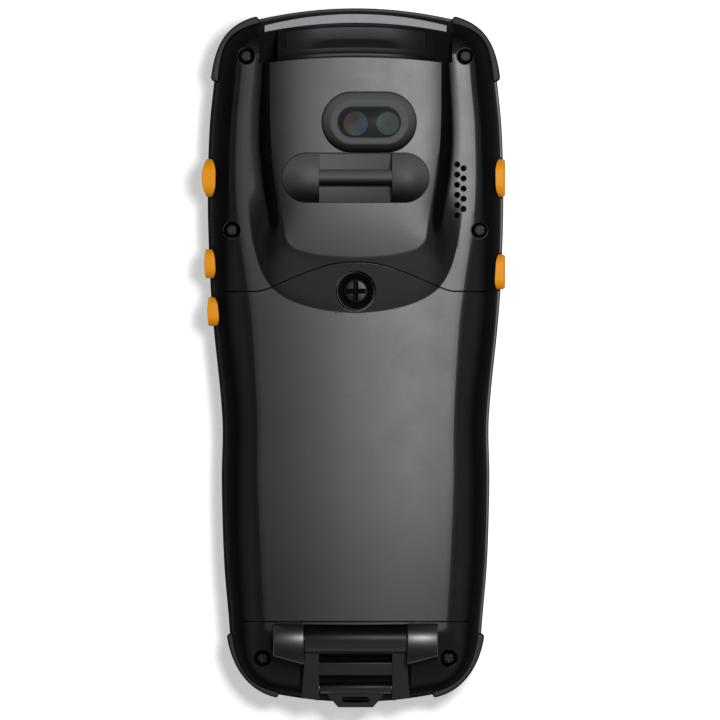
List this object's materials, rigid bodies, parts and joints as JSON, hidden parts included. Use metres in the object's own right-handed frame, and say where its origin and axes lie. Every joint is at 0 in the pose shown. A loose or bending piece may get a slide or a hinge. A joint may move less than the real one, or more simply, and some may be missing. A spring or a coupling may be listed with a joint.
{
  "type": "barcode data terminal",
  "caption": "Handheld data terminal with a scan window in one end, a hump on its back, a screwed battery cover, side and front keys, rubber corner bumpers and a hand strap's anchor and buckle.",
  "frame": {"origin": "the middle of the bounding box's underside, on the plane that the four corner bumpers stand on", "axes": "+Y to the scanner end, +Z out of the back, +X to the side with the speaker holes"},
  "size_m": [0.0718, 0.1655, 0.0334],
  "materials": {
    "case_plastic": "satin",
    "back_plastic": "fine matt texture",
    "seal_rubber": "matt",
    "bumper_rubber": "matt",
    "screw_steel": "black oxide",
    "black_plastic": "gloss",
    "window_glass": "clear",
    "engine_metal": "satin",
    "camera_glass": "clear",
    "lens_plastic": "coated",
    "led_plastic": "clear",
    "pack_plastic": "satin",
    "contact_brass": "plated",
    "circuit_board": "satin",
    "contact_steel": "bright",
    "pin_steel": "bright",
    "buckle_plastic": "satin",
    "orange_rubber": "satin",
    "red_rubber": "satin",
    "green_rubber": "satin",
    "key_rubber": "satin"
  },
  "bodies": {
    "case": {"front_housing": "case_plastic", "rear_housing": "back_plastic", "housing_gasket": "seal_rubber", "bumper_top_left": "bumper_rubber", "bumper_top_right": "bumper_rubber", "bumper_bottom_left": "bumper_rubber", "bumper_bottom_right": "bumper_rubber", "case_screws": "screw_steel", "scan_window_frame": "black_plastic", "scan_window": "window_glass", "scan_engine": "engine_metal", "camera_bezel": "back_plastic", "camera_window": "camera_glass", "camera_module": "lens_plastic", "flash_led": "led_plastic", "strap_anchor": "back_plastic", "speaker": "engine_metal", "battery_pack": "pack_plastic", "battery_contacts": "contact_brass", "main_board": "circuit_board", "display_module": "engine_metal", "touch_glass": "window_glass", "keypad_board": "circuit_board", "side_switches": "contact_steel", "io_connector": "contact_steel", "card_socket": "contact_steel", "vibration_motor": "contact_steel", "antenna": "contact_brass", "buckle_pin": "pin_steel"},
    "cover": {"battery_cover": "back_plastic"},
    "lock": {"lock_screw": "black_plastic"},
    "buckle": {"strap_buckle": "buckle_plastic", "loop_pin": "pin_steel"},
    "loop": {"strap_loop": "buckle_plastic"},
    "scan_key_left_body": {"scan_key_left": "orange_rubber"},
    "volume_up_key_body": {"volume_up_key": "orange_rubber"},
    "volume_down_key_body": {"volume_down_key": "orange_rubber"},
    "scan_key_right_body": {"scan_key_right": "orange_rubber"},
    "power_key_body": {"power_key": "orange_rubber"},
    "scan_key_front_body": {"scan_key_front": "orange_rubber"},
    "clear_key_body": {"clear_key": "red_rubber"},
    "enter_key_body": {"enter_key": "green_rubber"},
    "key_1_body": {"key_1": "key_rubber"},
    "key_2_body": {"key_2": "key_rubber"},
    "key_3_body": {"key_3": "key_rubber"},
    "key_4_body": {"key_4": "key_rubber"},
    "key_5_body": {"key_5": "key_rubber"},
    "key_6_body": {"key_6": "key_rubber"},
    "key_7_body": {"key_7": "key_rubber"},
    "key_8_body": {"key_8": "key_rubber"},
    "key_9_body": {"key_9": "key_rubber"},
    "key_point_body": {"key_point": "key_rubber"},
    "key_0_body": {"key_0": "key_rubber"},
    "key_back_body": {"key_back": "key_rubber"}
  },
  "joints": [
    {"name": "battery_cover_hinge", "type": "hinge", "parent": "case", "child": "cover", "pos_m": [0, -0.0623, 0.0246], "axis": [1, 0, 0], "range_deg": [0, 30]},
    {"name": "lock_screw_turn", "type": "hinge", "parent": "cover", "child": "lock", "pos_m": [0, 0.01565, 0.0237], "axis": [0, 0, 1], "range_deg": [0, 90]},
    {"name": "strap_buckle_hinge", "type": "hinge", "parent": "case", "child": "buckle", "pos_m": [0, -0.0665, 0.0232], "axis": [-1, 0, 0], "range_deg": [0, 100]},
    {"name": "strap_loop_hinge", "type": "hinge", "parent": "buckle", "child": "loop", "pos_m": [0, -0.07806, 0.01748], "axis": [-1, 0, 0], "range_deg": [0, 90]},
    {"name": "scan_key_left_press", "type": "slide", "parent": "case", "child": "scan_key_left_body", "axis": [1, 0, 0], "range_m": [0, 0.0004], "stiffness_N_per_m": 400, "springref_m": -0.0015},
    {"name": "volume_up_key_press", "type": "slide", "parent": "case", "child": "volume_up_key_body", "axis": [1, 0, 0], "range_m": [0, 0.0004], "stiffness_N_per_m": 400, "springref_m": -0.0015},
    {"name": "volume_down_key_press", "type": "slide", "parent": "case", "child": "volume_down_key_body", "axis": [1, 0, 0], "range_m": [0, 0.0004], "stiffness_N_per_m": 400, "springref_m": -0.0015},
    {"name": "scan_key_right_press", "type": "slide", "parent": "case", "child": "scan_key_right_body", "axis": [-1, 0, 0], "range_m": [0, 0.0004], "stiffness_N_per_m": 400, "springref_m": -0.0015},
    {"name": "power_key_press", "type": "slide", "parent": "case", "child": "power_key_body", "axis": [-1, 0, 0], "range_m": [0, 0.0004], "stiffness_N_per_m": 400, "springref_m": -0.0015},
    {"name": "scan_key_front_press", "type": "slide", "parent": "case", "child": "scan_key_front_body", "axis": [0, 0, 1], "range_m": [0, 0.0005], "stiffness_N_per_m": 300, "springref_m": -0.002},
    {"name": "clear_key_press", "type": "slide", "parent": "case", "child": "clear_key_body", "axis": [0, 0, 1], "range_m": [0, 0.0005], "stiffness_N_per_m": 300, "springref_m": -0.002},
    {"name": "enter_key_press", "type": "slide", "parent": "case", "child": "enter_key_body", "axis": [0, 0, 1], "range_m": [0, 0.0005], "stiffness_N_per_m": 300, "springref_m": -0.002},
    {"name": "key_1_press", "type": "slide", "parent": "case", "child": "key_1_body", "axis": [0, 0, 1], "range_m": [0, 0.0005], "stiffness_N_per_m": 300, "springref_m": -0.002},
    {"name": "key_2_press", "type": "slide", "parent": "case", "child": "key_2_body", "axis": [0, 0, 1], "range_m": [0, 0.0005], "stiffness_N_per_m": 300, "springref_m": -0.002},
    {"name": "key_3_press", "type": "slide", "parent": "case", "child": "key_3_body", "axis": [0, 0, 1], "range_m": [0, 0.0005], "stiffness_N_per_m": 300, "springref_m": -0.002},
    {"name": "key_4_press", "type": "slide", "parent": "case", "child": "key_4_body", "axis": [0, 0, 1], "range_m": [0, 0.0005], "stiffness_N_per_m": 300, "springref_m": -0.002},
    {"name": "key_5_press", "type": "slide", "parent": "case", "child": "key_5_body", "axis": [0, 0, 1], "range_m": [0, 0.0005], "stiffness_N_per_m": 300, "springref_m": -0.002},
    {"name": "key_6_press", "type": "slide", "parent": "case", "child": "key_6_body", "axis": [0, 0, 1], "range_m": [0, 0.0005], "stiffness_N_per_m": 300, "springref_m": -0.002},
    {"name": "key_7_press", "type": "slide", "parent": "case", "child": "key_7_body", "axis": [0, 0, 1], "range_m": [0, 0.0005], "stiffness_N_per_m": 300, "springref_m": -0.002},
    {"name": "key_8_press", "type": "slide", "parent": "case", "child": "key_8_body", "axis": [0, 0, 1], "range_m": [0, 0.0005], "stiffness_N_per_m": 300, "springref_m": -0.002},
    {"name": "key_9_press", "type": "slide", "parent": "case", "child": "key_9_body", "axis": [0, 0, 1], "range_m": [0, 0.0005], "stiffness_N_per_m": 300, "springref_m": -0.002},
    {"name": "key_point_press", "type": "slide", "parent": "case", "child": "key_point_body", "axis": [0, 0, 1], "range_m": [0, 0.0005], "stiffness_N_per_m": 300, "springref_m": -0.002},
    {"name": "key_0_press", "type": "slide", "parent": "case", "child": "key_0_body", "axis": [0, 0, 1], "range_m": [0, 0.0005], "stiffness_N_per_m": 300, "springref_m": -0.002},
    {"name": "key_back_press", "type": "slide", "parent": "case", "child": "key_back_body", "axis": [0, 0, 1], "range_m": [0, 0.0005], "stiffness_N_per_m": 300, "springref_m": -0.002}
  ]
}
